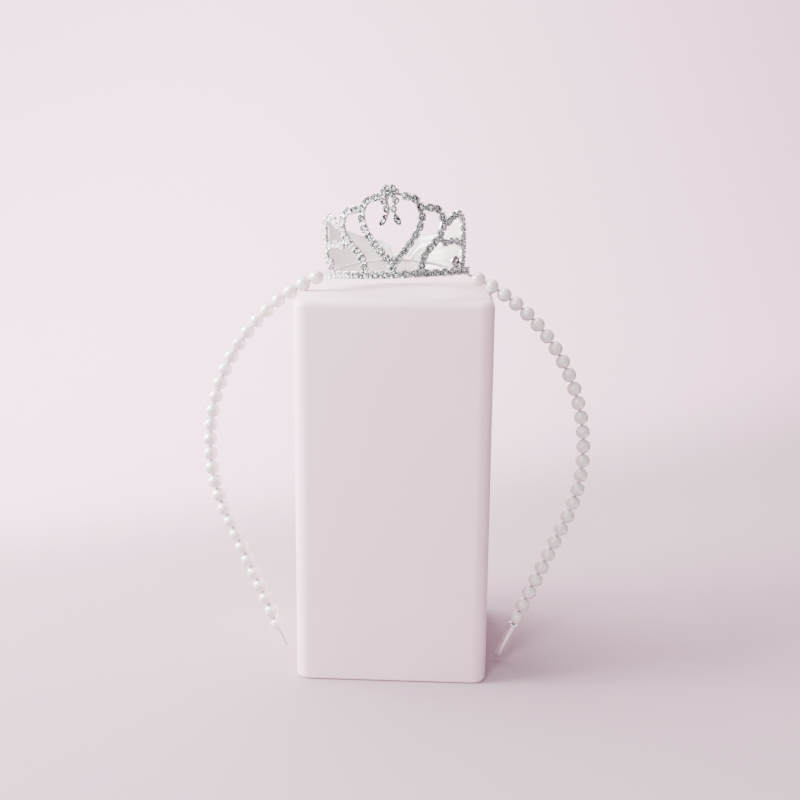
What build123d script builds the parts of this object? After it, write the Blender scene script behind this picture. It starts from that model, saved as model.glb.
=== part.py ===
"""Mini crown headband on a display block.

A bent wire carries pearls on its two arms and ends in smooth sleeves. A small
tiara of soldered cup chains, bent round a ring of wire, stands on the top of
the wire, and a satin ribbon closes the back half of the ring. The headband
straddles a plain block, with its sleeves on the ground beside the block.

Millimetres, +Z up, +X to the right, the front towards -Y. The origin is the
centre of the block's base, on the ground.
"""

import os
from math import atan2, cos, degrees, radians, sin

from build123d import *

os.makedirs("parts", exist_ok=True)

# Display block
block_width = 63.6
block_depth = 63.6
block_height = 127.8
block_corner_radius = 4.8
block_rim_radius = 2.4
block_foot_radius = 0.8

# Headband, drawn flat in its own plane, which leans back from the ground
band_foot_y = -14.6
band_lean = 3.0
band_arch_radius = 63.2
band_arch_height = 138.4
band_side_radius = 58.0
band_side_turn = 23.8
band_wire_radius = 0.45
band_tip_height = 1.85

# Pearls, strung on the wire
pearl_pitch = 4.98
pearl_radius = 2.43
pearl_bore_radius = 0.56
first_pearl_reach = 27.6
pearls_on_arm = {"left": 29, "right": 28}

# Smooth sleeves over the wire's ends
sleeve_radius = 1.7
sleeve_nose_radius = 1.55
sleeve_gap = 0.12
sleeve_end_wall = 2.5

# Crown: a ring of wire whose plane leans back and is a little higher on the right
crown_radius = 23.8
crown_centre = (0.0, -7.5, 134.2)
crown_lean = 3.5
crown_roll = 2.4
ring_wire_radius = 0.35
ring_inset = 0.25
ring_drop = 0.45

# Cups, measured outwards from the crown's radius
cup_back = -0.2
cup_floor = 0.3
cup_rim = 0.8
cup_wall = 0.2
link_width = 1.6
bar_width = 0.9
bar_back = -0.1
bar_front = 0.2

# Square cups of the chains, which nearly touch along a chain
chain_pitch = 2.95
chain_cup_length = 2.8
chain_cup_width = 2.5
scroll_cup_length = 2.4
scroll_cup_width = 2.2
cup_corner_radius = 0.6

# Round cups of the scrolls' eyes, the flower and the bow
bezel_radius = 1.95
flower_centre_radius = 0.8
flower_petal_radius = 0.94
flower_half_width = 2.0
flower_half_height = 1.38
bow_upper_radius = 1.2
bow_lower_radius = 1.1
drop_length = 3.7
drop_width = 2.1

# Cut stones, seated in their cups: heights are outwards from the crown's radius
stone_gap = 0.06
stone_point = 0.38
stone_girdle = 0.72
stone_girdle_thickness = 0.1
stone_crown_share = 0.34
stone_table_share = 0.56
stone_culet_share = 0.12
stone_facets = 8

# Base chain: one row of cups on the front of the ring
base_middle_angle = 1.3
base_step = 7.8
base_cups_each_side = 9
base_height = 0.4

# Outlines of the tiara on the crown's wall, from the middle outwards
# Columns: angle from the front in degrees, height above the crown's plane in mm
heart_outline = [
    (0.0, 2.85),
    (8.45, 7.4),
    (17.1, 12.05),
    (22.6, 17.55),
    (22.0, 20.5),
    (17.95, 23.05),
    (11.3, 24.0),
]
inner_loop_outline = [
    (29.2, 20.4),
    (34.5, 20.2),
    (38.7, 18.5),
    (41.0, 16.0),
    (36.25, 11.3),
    (27.3, 7.65),
    (21.4, 2.85),
]
outer_loop_outline = [
    (46.2, 16.1),
    (51.0, 17.5),
    (56.4, 18.3),
    (62.0, 17.8),
    (65.0, 15.6),
    (65.2, 11.0),
    (64.4, 7.2),
    (62.0, 2.9),
]
scroll_outline = [
    (42.0, 9.5),
    (51.0, 10.0),
    (60.0, 9.1),
]
scroll_cups = 4
scroll_eye_right = (52.5, 3.4)
scroll_eye_left = (-57.5, 3.8)

# Flower at the heart's top, and the bow that hangs from it
flower_centre = (-0.8, 25.7)
bow_middle_angle = -1.0
bow_upper_spread = 4.5
bow_upper_height = 22.85
bow_lower_spread = 2.8
bow_lower_height = 20.35
bow_drop_spread = 5.2
bow_drop_height = 17.0
bow_drop_slant = 63.0

# Plain bars between neighbours that share no chain, on both sides
# Columns: angle and height of one end, angle and height of the other
solder_bars = [
    (21.9, 20.5, 29.2, 20.4),
    (41.0, 16.0, 46.2, 16.1),
    (35.0, 10.6, 42.0, 9.5),
    (60.0, 9.1, 65.0, 9.0),
    (55.0, 3.6, 55.0, 0.4),
    (55.0, 3.6, 62.0, 2.9),
    (21.4, 2.85, 20.5, 0.4),
    (62.0, 2.9, 61.0, 0.4),
    (0.0, 25.7, 11.3, 24.0),
    (0.0, 25.7, 3.5, 22.85),
    (3.5, 22.85, 1.8, 20.35),
    (1.8, 20.35, 4.2, 17.0),
]

# Satin ribbon inside the back half of the ring
ribbon_thickness = 1.0
ribbon_bottom = -1.2
# Columns: angle from the middle of the back in degrees, wall radius in mm,
# height of the top edge in mm
ribbon_left_sections = [
    (85.0, 22.0, 16.6),
    (74.0, 22.0, 17.4),
    (66.0, 21.6, 16.4),
    (57.0, 22.0, 14.9),
    (45.0, 22.0, 13.4),
    (36.0, 21.5, 12.2),
    (27.0, 22.0, 11.5),
    (15.0, 21.9, 9.9),
    (8.5, 21.4, 8.8),
    (6.3, 21.0, 5.0),
]
ribbon_right_sections = [
    (85.0, 22.0, 17.2),
    (71.0, 22.0, 17.4),
    (63.0, 21.0, 16.6),
    (57.0, 22.0, 15.2),
    (46.0, 22.0, 12.6),
    (37.0, 21.6, 11.4),
    (28.0, 22.0, 11.6),
    (19.0, 22.0, 11.2),
    (12.0, 21.5, 7.4),
    (7.2, 21.0, 4.4),
]
knot_angle = 0.5
knot_radius = 22.2
knot_width = 4.2
knot_tall = 6.2
knot_depth = 4.8
knot_height = 1.3
knot_corner_radius = 1.6
knot_edge_radius = 1.2
knot_channel_radius = 0.55


def save(part, name):
    """Label a finished piece and write its STEP file."""
    part.label = name
    export_step(part, f"parts/{name}.step")


# The headband's plane: local X to the right, local Y up along the lean
band_up = Vector(0, sin(radians(band_lean)), cos(radians(band_lean)))
band_plane = Plane(
    origin=(0, band_foot_y, 0),
    x_dir=(1, 0, 0),
    z_dir=Vector(1, 0, 0).cross(band_up),
)

arch_centre_height = band_arch_height - band_arch_radius
side_centre_x = band_arch_radius - band_side_radius
arch_length = radians(90) * band_arch_radius
side_length = radians(band_side_turn) * band_side_radius
straight_start = (
    side_centre_x + band_side_radius * cos(radians(band_side_turn)),
    arch_centre_height - band_side_radius * sin(radians(band_side_turn)),
)
straight_run = (-sin(radians(band_side_turn)), -cos(radians(band_side_turn)))
straight_length = (straight_start[1] - band_tip_height) / -straight_run[1]
arm_length = arch_length + side_length + straight_length


def along_arm(reach):
    """Flat position and direction on the right arm, at a length from the top."""
    if reach < arch_length:
        turn = reach / band_arch_radius
        spot = (band_arch_radius * sin(turn),
                arch_centre_height + band_arch_radius * cos(turn))
        run = (cos(turn), -sin(turn))
    elif reach < arch_length + side_length:
        turn = (reach - arch_length) / band_side_radius
        spot = (side_centre_x + band_side_radius * cos(turn),
                arch_centre_height - band_side_radius * sin(turn))
        run = (-sin(turn), -cos(turn))
    else:
        rest = reach - arch_length - side_length
        spot = (straight_start[0] + rest * straight_run[0],
                straight_start[1] + rest * straight_run[1])
        run = straight_run
    return spot, run


def arm_plane(side, reach):
    """Plane across the wire at a length from the top, facing the arm's end."""
    (x, y), (run_x, run_y) = along_arm(reach)
    sign = 1 if side == "right" else -1
    origin = band_plane.origin + band_plane.x_dir * (sign * x) + band_plane.y_dir * y
    facing = band_plane.x_dir * (sign * run_x) + band_plane.y_dir * run_y
    return Plane(origin=origin, x_dir=band_plane.z_dir, z_dir=facing)


# The crown's own directions: right, back and up
leaning_up = Vector(0, sin(radians(crown_lean)), cos(radians(crown_lean)))
level_right = Vector(1, 0, 0)
crown_right = level_right * cos(radians(crown_roll)) + leaning_up * sin(radians(crown_roll))
crown_up = leaning_up * cos(radians(crown_roll)) - level_right * sin(radians(crown_roll))
crown_plane = Plane(origin=crown_centre, x_dir=crown_right, z_dir=crown_up)


def wall_plane(angle, height, outset=0.0, radius=crown_radius):
    """Plane that faces outwards on the crown's wall, with its local Y upwards."""
    turn = radians(angle)
    outward = crown_plane.x_dir * sin(turn) - crown_plane.y_dir * cos(turn)
    tangent = crown_plane.x_dir * cos(turn) + crown_plane.y_dir * sin(turn)
    origin = crown_plane.origin + outward * (radius + outset) + crown_plane.z_dir * height
    return Plane(origin=origin, x_dir=tangent, z_dir=outward)


def upright_plane(angle):
    """Upright plane through the crown's axis, with its local X outwards."""
    outward = wall_plane(angle, 0).z_dir
    return Plane(origin=crown_plane.origin, x_dir=outward, z_dir=outward.cross(crown_plane.z_dir))


def unrolled(angle, height):
    """Flat place of a point of the wall, as if the wall were rolled out."""
    return (radians(angle) * crown_radius, height)


def chain_spots(outline, count):
    """Even spots along a smooth curve through an outline's rows: angle, height, slant of the curve."""
    curve = Spline(*[unrolled(*row) for row in outline], mode=Mode.PRIVATE)
    spots = []
    for index in range(count):
        spot = curve @ (index / (count - 1))
        run = curve % (index / (count - 1))
        spots.append((degrees(spot.X / crown_radius), spot.Y, degrees(atan2(run.Y, run.X))))
    return spots


def mirrored(spots):
    """The same spots on the left side of the crown."""
    return [(-angle, height, -slant) for angle, height, slant in spots]


def chain_count(outline):
    """How many cups at the chain's pitch a curve has room for."""
    curve = Spline(*[unrolled(*row) for row in outline], mode=Mode.PRIVATE)
    return round(curve.length / chain_pitch) + 1


base_spots = [(base_middle_angle + index * base_step, base_height, 0.0)
              for index in range(-base_cups_each_side, base_cups_each_side + 1)]
heart_spots = chain_spots(heart_outline, chain_count(heart_outline))
inner_loop_spots = chain_spots(inner_loop_outline, chain_count(inner_loop_outline))
outer_loop_spots = chain_spots(outer_loop_outline, chain_count(outer_loop_outline))
scroll_spots = chain_spots(scroll_outline, scroll_cups)

petal_spots = []
for petal in range(6):
    turn = radians(60 * petal)
    petal_spots.append((flower_centre[0] + degrees(flower_half_width * cos(turn) / crown_radius),
                        flower_centre[1] + flower_half_height * sin(turn), 0.0))
bow_upper_spots = [(bow_middle_angle - bow_upper_spread, bow_upper_height, 0.0),
                   (bow_middle_angle + bow_upper_spread, bow_upper_height, 0.0)]
bow_lower_spots = [(bow_middle_angle - bow_lower_spread, bow_lower_height, 0.0),
                   (bow_middle_angle + bow_lower_spread, bow_lower_height, 0.0)]

# Square cups: length, width and spots of each node's stones. The heart's lowest cup is shared, and the left
# outer loop ends one cup early to leave room for the eye of its scroll.
square_cups = {
    "base_stones": (chain_cup_length, chain_cup_width, base_spots),
    "heart_stones_right": (chain_cup_length, chain_cup_width, heart_spots),
    "heart_stones_left": (chain_cup_length, chain_cup_width, mirrored(heart_spots[1:])),
    "inner_loop_stones_right": (chain_cup_length, chain_cup_width, inner_loop_spots),
    "inner_loop_stones_left": (chain_cup_length, chain_cup_width, mirrored(inner_loop_spots)),
    "outer_loop_stones_right": (chain_cup_length, chain_cup_width, outer_loop_spots),
    "outer_loop_stones_left": (chain_cup_length, chain_cup_width, mirrored(outer_loop_spots[:-1])),
    "scroll_stones_right": (scroll_cup_length, scroll_cup_width, scroll_spots),
    "scroll_stones_left": (scroll_cup_length, scroll_cup_width, mirrored(scroll_spots)),
}

# Round cups: radius and spots of each node's stones
round_cups = {
    "scroll_eye_stone_right": (bezel_radius, [(*scroll_eye_right, 0.0)]),
    "scroll_eye_stone_left": (bezel_radius, [(*scroll_eye_left, 0.0)]),
    "flower_petal_stones": (flower_petal_radius, petal_spots),
    "flower_centre_stone": (flower_centre_radius, [(*flower_centre, 0.0)]),
    "bow_upper_stones": (bow_upper_radius, bow_upper_spots),
    "bow_lower_stones": (bow_lower_radius, bow_lower_spots),
}


def seat_plane(spot, outset=0.0):
    """Plane of a cup on the wall, with its local X along the chain."""
    flat = wall_plane(spot[0], spot[1], outset)
    slant = radians(spot[2])
    along = flat.x_dir * cos(slant) + flat.y_dir * sin(slant)
    return Plane(origin=flat.origin, x_dir=along, z_dir=flat.z_dir)


# Section of the ring's wire, which passes behind the base chain
ring_section_plane = Plane(
    origin=(crown_plane.origin + crown_plane.x_dir * (crown_radius - ring_inset)
            - crown_plane.z_dir * ring_drop),
    x_dir=crown_plane.x_dir,
    z_dir=crown_plane.y_dir,
)


def wall_bar(first, second):
    """Plane and length of a bar between two spots of the wall."""
    start = wall_plane(first[0], first[1], bar_back).origin
    end = wall_plane(second[0], second[1], bar_back).origin
    middle = wall_plane((first[0] + second[0]) / 2, 0)
    return Plane(origin=(start + end) / 2, x_dir=end - start, z_dir=middle.z_dir), (end - start).length


def drop_plane(sign, outset):
    """Plane of a drop of the bow, with its local X along the drop."""
    flat = wall_plane(bow_middle_angle + sign * bow_drop_spread, bow_drop_height, outset)
    slant = radians(bow_drop_slant)
    along = flat.x_dir * (sign * cos(slant)) - flat.y_dir * sin(slant)
    return Plane(origin=flat.origin, x_dir=along, z_dir=flat.z_dir)


# Display block
with BuildPart() as display_block:
    with BuildSketch():
        RectangleRounded(block_width, block_depth, block_corner_radius)
    extrude(amount=block_height)
    fillet(display_block.faces().sort_by(Axis.Z)[-1].edges(), block_rim_radius)
    fillet(display_block.faces().sort_by(Axis.Z)[0].edges(), block_foot_radius)
save(display_block.part, "display_block")

# Headband wire: an arch, two side arcs and two straight arms
with BuildPart() as headband_wire:
    with BuildLine(band_plane) as band_path:
        end_right = (straight_start[0] + (straight_length - sleeve_end_wall) * straight_run[0],
                     straight_start[1] + (straight_length - sleeve_end_wall) * straight_run[1])
        Line(end_right, straight_start)
        CenterArc((side_centre_x, arch_centre_height), band_side_radius,
                  -band_side_turn, band_side_turn)
        CenterArc((0, arch_centre_height), band_arch_radius, 0, 180)
        CenterArc((-side_centre_x, arch_centre_height), band_side_radius, 180, band_side_turn)
        Line((-straight_start[0], straight_start[1]), (-end_right[0], end_right[1]))
    with BuildSketch(arm_plane("right", arm_length - sleeve_end_wall)):
        Circle(band_wire_radius)
    sweep(path=band_path.wire())
save(headband_wire.part, "headband_wire")

# Pearls, each drilled along the wire
sleeve_starts = {}
for side, count in pearls_on_arm.items():
    spots = [arm_plane(side, first_pearl_reach + index * pearl_pitch) for index in range(count)]
    with BuildPart() as pearls:
        with Locations(*spots):
            Sphere(pearl_radius)
            Cylinder(pearl_bore_radius, 2 * pearl_radius + 1, mode=Mode.SUBTRACT)
    save(pearls.part, f"pearls_{side}")
    sleeve_starts[side] = (first_pearl_reach + (count - 1) * pearl_pitch
                           + pearl_radius + sleeve_gap)

# End sleeves, closed at the tip
for side, start in sleeve_starts.items():
    length = arm_length - start
    with BuildPart() as sleeve:
        with BuildSketch(arm_plane(side, start)):
            Circle(sleeve_radius)
        extrude(amount=length)
        nose = sleeve.faces().sort_by(Axis.Z)[0]
        fillet(nose.edges(), sleeve_nose_radius)
        with BuildSketch(arm_plane(side, start)):
            Circle(pearl_bore_radius)
        extrude(amount=length - sleeve_end_wall + sleeve_gap, mode=Mode.SUBTRACT)
    save(sleeve.part, f"end_sleeve_{side}")

# Tiara frame: ring wire, cups, links and bars, soldered into one piece
link_ends = list(zip(base_spots[:-1], base_spots[1:]))
for spots in (heart_spots, inner_loop_spots, outer_loop_spots, scroll_spots):
    link_ends += list(zip(spots[:-1], spots[1:]))
    link_ends += list(zip(mirrored(spots[:-1]), mirrored(spots[1:])))
bar_ends = []
for row in solder_bars:
    bar_ends.append(((row[0], row[1]), (row[2], row[3])))
    bar_ends.append(((-row[0], row[1]), (-row[2], row[3])))

with BuildPart() as tiara_frame:
    with BuildSketch(ring_section_plane):
        Circle(ring_wire_radius)
    revolve(axis=Axis(crown_plane.origin, crown_plane.z_dir), revolution_arc=360)
    for ends, width in ((link_ends, link_width), (bar_ends, bar_width)):
        for first, second in ends:
            plane, length = wall_bar(first, second)
            with BuildSketch(plane):
                Rectangle(length, width)
    extrude(amount=bar_front - bar_back)
    for length, width, spots in square_cups.values():
        with BuildSketch(*[seat_plane(spot, cup_back) for spot in spots]):
            RectangleRounded(length, width, cup_corner_radius)
    for radius, spots in round_cups.values():
        with BuildSketch(*[seat_plane(spot, cup_back) for spot in spots]):
            Circle(radius)
    for sign in (1, -1):
        with BuildSketch(drop_plane(sign, cup_back)):
            Ellipse(drop_length / 2, drop_width / 2)
    extrude(amount=cup_rim - cup_back)
    for length, width, spots in square_cups.values():
        with BuildSketch(*[seat_plane(spot, cup_floor) for spot in spots]):
            Circle(width / 2 - cup_wall)
    for radius, spots in round_cups.values():
        with BuildSketch(*[seat_plane(spot, cup_floor) for spot in spots]):
            Circle(radius - cup_wall)
    for sign in (1, -1):
        with BuildSketch(drop_plane(sign, cup_floor)):
            Ellipse(drop_length / 2 - cup_wall, drop_width / 2 - cup_wall)
    extrude(amount=cup_rim - cup_floor, mode=Mode.SUBTRACT)
save(tiara_frame.part, "tiara_frame")


def stone_outline(length, width, share):
    """Corners of a stone's girdle or table, spaced round an ellipse."""
    corners = []
    for index in range(stone_facets):
        turn = radians((index + 0.5) * 360 / stone_facets)
        corners.append((share * length / 2 * cos(turn), share * width / 2 * sin(turn)))
    return corners


def cut_stone(length, width):
    """A cut stone with a table, crown facets, a girdle and a pointed back."""
    girdle_top = stone_girdle + stone_girdle_thickness
    table = girdle_top + stone_crown_share * width / 2
    layers = [
        (stone_point, stone_culet_share),
        (stone_girdle, 1.0),
        (girdle_top, 1.0),
        (table, stone_table_share),
    ]
    with BuildPart() as stone:
        for height, share in layers:
            with BuildSketch(Plane.XY.offset(height)):
                Polygon(*stone_outline(length, width, share), align=None)
        loft(ruled=True)
    return stone.part


# Stones of the chains, the scrolls' eyes, the flower and the bow
rim_share = 2 * (cup_wall + stone_gap)
stone_seats = {}
for name, (length, width, spots) in square_cups.items():
    stone_seats[name] = (width - rim_share, spots)
for name, (radius, spots) in round_cups.items():
    stone_seats[name] = (2 * radius - rim_share, spots)

for name, (stone_width, spots) in stone_seats.items():
    stone = cut_stone(stone_width, stone_width)
    with BuildPart() as stones:
        with Locations(*[seat_plane(spot) for spot in spots]):
            add(stone)
    save(stones.part, name)

drop = cut_stone(drop_length - rim_share, drop_width - rim_share)
for side, sign in (("right", 1), ("left", -1)):
    with BuildPart() as bow_drop:
        with Locations(drop_plane(sign, 0)):
            add(drop)
    save(bow_drop.part, f"bow_drop_{side}")

# Satin panels, lofted through upright sections round the back of the ring
for side, sign, sections in (("left", -1, ribbon_left_sections), ("right", 1, ribbon_right_sections)):
    with BuildPart() as panel:
        for angle, radius, top in sections:
            with BuildSketch(upright_plane(180 - sign * angle)):
                with BuildLine():
                    Polyline((radius, ribbon_bottom), (radius + ribbon_thickness, ribbon_bottom),
                             (radius + ribbon_thickness, top), (radius, top), close=True)
                make_face()
        loft(ruled=True)
    save(panel.part, f"ribbon_{side}")

# Knot that pinches the panels and wraps the ring's wire
with BuildPart() as ribbon_knot:
    with BuildSketch(wall_plane(180 - knot_angle, knot_height, -knot_depth / 2, knot_radius)):
        RectangleRounded(knot_width, knot_tall, knot_corner_radius)
    extrude(amount=knot_depth)
    knot_faces = ribbon_knot.faces().filter_by(GeomType.PLANE).sort_by(SortBy.AREA)[-2:]
    fillet(knot_faces.edges(), knot_edge_radius)
    with BuildSketch(ring_section_plane):
        Circle(knot_channel_radius)
    revolve(axis=Axis(crown_plane.origin, crown_plane.z_dir), revolution_arc=360, mode=Mode.SUBTRACT)
save(ribbon_knot.part, "ribbon_knot")
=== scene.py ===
# %% [markdown]
# # Mini crown headband on a display block
#
# The object is a hair ornament: a bent wire strung with pearls, with a small
# tiara of stone-set chains and a satin ribbon on top. It stands over a plain
# painted block. The CAD frame gives every piece its place, and this lesson
# dresses the frame: surfaces are worked out with numpy, and finishes with nodes.

import bpy
import mathutils
import numpy as np
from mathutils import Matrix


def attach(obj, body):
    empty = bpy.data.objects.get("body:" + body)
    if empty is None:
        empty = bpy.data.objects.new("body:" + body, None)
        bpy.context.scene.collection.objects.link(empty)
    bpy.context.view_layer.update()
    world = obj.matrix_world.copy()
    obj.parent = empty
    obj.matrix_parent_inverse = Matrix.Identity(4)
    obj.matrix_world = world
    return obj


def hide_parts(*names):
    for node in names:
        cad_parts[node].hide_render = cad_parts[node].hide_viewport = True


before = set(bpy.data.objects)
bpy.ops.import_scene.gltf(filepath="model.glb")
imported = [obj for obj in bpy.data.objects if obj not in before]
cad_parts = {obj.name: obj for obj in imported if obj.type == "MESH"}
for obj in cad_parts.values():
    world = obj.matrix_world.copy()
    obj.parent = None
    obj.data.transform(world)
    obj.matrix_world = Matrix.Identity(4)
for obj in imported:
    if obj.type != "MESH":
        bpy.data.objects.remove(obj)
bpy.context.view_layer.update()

print("nodes in the frame:", len(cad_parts))

# %% [markdown]
# ## Two working planes
#
# Nearly all pieces belong to one of two leaning frames. The headband is flat
# and leans back 3 degrees from the ground. The tiara is bent round a ring that
# leans back 3.5 degrees and is 2.4 degrees higher on the right. Points are
# worked out in those simple frames, and one matrix product sets them in place.
# Lengths here are in millimetres, and become metres only in the mesh.

# %% Two working planes
MM = 0.001


def turned(lean, roll):
    """Rows are the frame's right, back and up: up leans back, then right is rolled upwards."""
    a, b = np.radians(lean), np.radians(roll)
    level = np.array([1.0, 0.0, 0.0])
    leaning = np.array([0.0, np.sin(a), np.cos(a)])
    right = level * np.cos(b) + leaning * np.sin(b)
    up = leaning * np.cos(b) - level * np.sin(b)
    return np.array([right, np.cross(up, right), up])


band_foot = np.array([0.0, -14.6, 0.0])
band_axes = turned(3.0, 0.0)
crown_centre = np.array([0.0, -7.5, 134.2])
crown_axes = turned(3.5, 2.4)
crown_radius = 23.8
print("crown's up:", crown_axes[2].round(4))


# %% [markdown]
# ## From arrays to meshes
#
# A surface is a table of points with rows and columns. Its quads need no loop
# over points: the number of a corner is row times columns plus column, so whole
# arrays of numbers give all the faces at once. Shells made one by one are then
# joined into one mesh for each piece.

# %% From arrays to meshes
def grid_quads(rows, columns, wrap_rows=False, wrap_columns=False):
    """Corner (i, j) joins (i, j+1), (i+1, j+1) and (i+1, j).

    A wrapped side joins its last line to its first.
    """
    i = np.arange(rows if wrap_rows else rows - 1)[:, None]
    j = np.arange(columns if wrap_columns else columns - 1)[None, :]
    below, beside = (i + 1) % rows, (j + 1) % columns
    corners = [i * columns + j, i * columns + beside, below * columns + beside, below * columns + j]
    return np.stack(np.broadcast_arrays(*corners), axis=-1).reshape(-1, 4)


def repeated(points, faces):
    """Copies of one shell, given as points (copy, point, axis).

    Each copy's faces count from its own first point.
    """
    copies, count = points.shape[:2]
    moved = [(np.asarray(part)[None] + (np.arange(copies) * count)[:, None, None]).reshape(-1, len(part[0]))
             for part in faces]
    return points.reshape(-1, 3), moved


def piece(name, shells, material, smooth=True, uv=None):
    """One mesh object from shells of (points in mm, list of face arrays), riding on the root body."""
    points, faces, start = [], [], 0
    for shell_points, shell_faces in shells:
        points.append(shell_points)
        for part in shell_faces:
            faces += (np.asarray(part) + start).tolist()
        start += len(shell_points)
    mesh = bpy.data.meshes.new(name)
    mesh.from_pydata((np.concatenate(points) * MM).tolist(), [], faces)
    mesh.polygons.foreach_set("use_smooth", np.full(len(faces), smooth))
    if uv is not None:
        corner = np.empty(len(mesh.loops), int)
        mesh.loops.foreach_get("vertex_index", corner)
        mesh.uv_layers.new(name="UVMap").data.foreach_set("uv", uv[corner].ravel())
    mesh.materials.append(material)
    made = bpy.data.objects.new(name, mesh)
    bpy.context.scene.collection.objects.link(made)
    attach(made, "root")
    print(f"{name}: {len(mesh.vertices)} points, {len(faces)} faces")
    return made


# %% [markdown]
# ## Finishes
#
# Each finish is a Principled shader. Values that are the same all over the
# surface sit on the shader's own sockets, and only what varies comes from
# nodes: cloudy colour from noise, and relief through a Bump node.

# %% Helpers for finishes
def finish(name, **sockets):
    """A new material whose Principled shader has these socket values; names use _ for a space."""
    material = bpy.data.materials.new(name)
    material.use_nodes = True
    shader = material.node_tree.nodes["Principled BSDF"]
    for socket, value in sockets.items():
        shader.inputs[socket.replace("_", " ")].default_value = value
    return material, shader


def node(material, kind, **values):
    """A node of this kind, with its properties and inputs set by name."""
    made = material.node_tree.nodes.new(kind)
    for key, value in values.items():
        if hasattr(made, key):
            setattr(made, key, value)
        else:
            made.inputs[key.replace("_", " ")].default_value = value
    return made


def join(material, source, output, target, entry):
    """A link from one node's output to another node's input."""
    material.node_tree.links.new(source.outputs[output], target.inputs[entry])


def two_tones(material, low, first, high, second):
    """A colour ramp with one tone up to the low share and another from the high share on."""
    ramp = node(material, "ShaderNodeValToRGB")
    for stop, share, tone in zip(ramp.color_ramp.elements, (low, high), (first, second)):
        stop.position, stop.color = share, (*tone, 1)
    return ramp


def cloudy(material, shader, scale, first, second):
    """Colour = ramp(noise(place * scale)), between two close tones."""
    place = node(material, "ShaderNodeTexCoord")
    noise = node(material, "ShaderNodeTexNoise", Scale=scale, Detail=4.0)
    ramp = two_tones(material, 0.35, first, 0.65, second)
    join(material, place, "Object", noise, "Vector")
    join(material, noise, "Fac", ramp, "Fac")
    join(material, ramp, "Color", shader, "Base Color")


def relief(material, shader, scale, distance, strength):
    """Bump whose height is noise(place * scale) times the distance in metres."""
    place = node(material, "ShaderNodeTexCoord")
    noise = node(material, "ShaderNodeTexNoise", Scale=scale, Detail=3.0)
    bump = node(material, "ShaderNodeBump", Strength=strength, Distance=distance)
    join(material, place, "Object", noise, "Vector")
    join(material, noise, "Fac", bump, "Height")
    join(material, bump, "Normal", shader, "Normal")


# %% [markdown]
# ### Paint, silver, pearl, crystal and satin
#
# The block has matte paint with faint clouds and a roller's fine orange peel.
# Silver wire is a metal of middle grey that mirrors the room. Pearls have a
# clear coat over a soft ivory body. A foiled crystal is clear glass in front
# of a mirror, so its crown is glass and its back is bright foil. Satin is
# smooth one way and rough the other, with a fine weave. Towards its right end
# a multiply darkens the satin to a creamy grey. This is painted shade, where
# that end turns away from the window. It reads the
# cloth's own UV map, in metres along and across the ribbon, with 0 in the middle
# of the back. A Mix node's colours go in at 6 and 7 and come out at 2.

# %% Paint, silver, pearl, crystal and satin
paint, shader = finish("painted_block", Roughness=0.62, Specular_IOR_Level=0.35)
cloudy(paint, shader, 26.0, (0.78, 0.585, 0.63), (0.81, 0.615, 0.66))
relief(paint, shader, 900.0, 0.00006, 0.5)

wire_silver, shader = finish("silver_wire", Metallic=1.0)
cloudy(wire_silver, shader, 240.0, (0.42, 0.41, 0.40), (0.58, 0.57, 0.56))
relief(wire_silver, shader, 1600.0, 0.00002, 0.4)
shader.inputs["Roughness"].default_value = 0.24

sleeve_silver, shader = finish("silver_sleeve", Metallic=1.0, Roughness=0.2)
cloudy(sleeve_silver, shader, 160.0, (0.80, 0.78, 0.76), (0.90, 0.89, 0.88))

setting_silver, shader = finish("silver_setting", Metallic=1.0, Roughness=0.16)
cloudy(setting_silver, shader, 420.0, (0.42, 0.41, 0.41), (0.66, 0.65, 0.65))

pearl, shader = finish("pearl", Roughness=0.3, Specular_IOR_Level=0.8, Coat_Weight=1.0, Coat_Roughness=0.1,
                       Coat_IOR=1.8, Subsurface_Weight=0.15, Subsurface_Scale=0.001)
shader.inputs["Subsurface Radius"].default_value = (1.0, 0.8, 0.6)
cloudy(pearl, shader, 150.0, (0.62, 0.55, 0.54), (0.68, 0.61, 0.595))
relief(pearl, shader, 700.0, 0.00003, 0.25)

crystal, shader = finish("crystal", Roughness=0.0, IOR=1.6, Transmission_Weight=1.0)
shader.inputs["Base Color"].default_value = (0.98, 0.98, 1.0, 1)
foil, shader = finish("crystal_foil", Metallic=1.0, Roughness=0.02)
cloudy(foil, shader, 900.0, (0.55, 0.55, 0.56), (0.78, 0.78, 0.79))

satin, shader = finish("satin", Roughness=0.42, Sheen_Weight=0.25, Sheen_Roughness=0.35,
                       Specular_IOR_Level=0.6, Anisotropic=0.5)
cloudy(satin, shader, 120.0, (0.92, 0.895, 0.86), (0.96, 0.94, 0.91))
cloth = node(satin, "ShaderNodeTexCoord")
along_cloth = node(satin, "ShaderNodeSeparateXYZ")
# Painted shade: towards the right end the satin's colour is multiplied darker and creamier, where that end turns away
# from the window.
toward_end = node(satin, "ShaderNodeMapRange", interpolation_type="SMOOTHSTEP")
toward_end.inputs["From Min"].default_value, toward_end.inputs["From Max"].default_value = 0.0150, 0.0190
painted_end_shade = node(satin, "ShaderNodeMix", data_type="RGBA", blend_type="MULTIPLY")
painted_end_shade.inputs[7].default_value = (0.60, 0.57, 0.525, 1)
join(satin, cloth, "UV", along_cloth, "Vector")
join(satin, along_cloth, "X", toward_end, "Value")
satin.node_tree.links.new(toward_end.outputs["Result"], painted_end_shade.inputs[0])
satin.node_tree.links.new(shader.inputs["Base Color"].links[0].from_socket, painted_end_shade.inputs[6])
satin.node_tree.links.new(painted_end_shade.outputs[2], shader.inputs["Base Color"])
print("finishes:", [m.name for m in bpy.data.materials])

# %% [markdown]
# The satin's weave follows the cloth, so it reads the same UV map. Two crossed
# waves give the threads.

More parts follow.
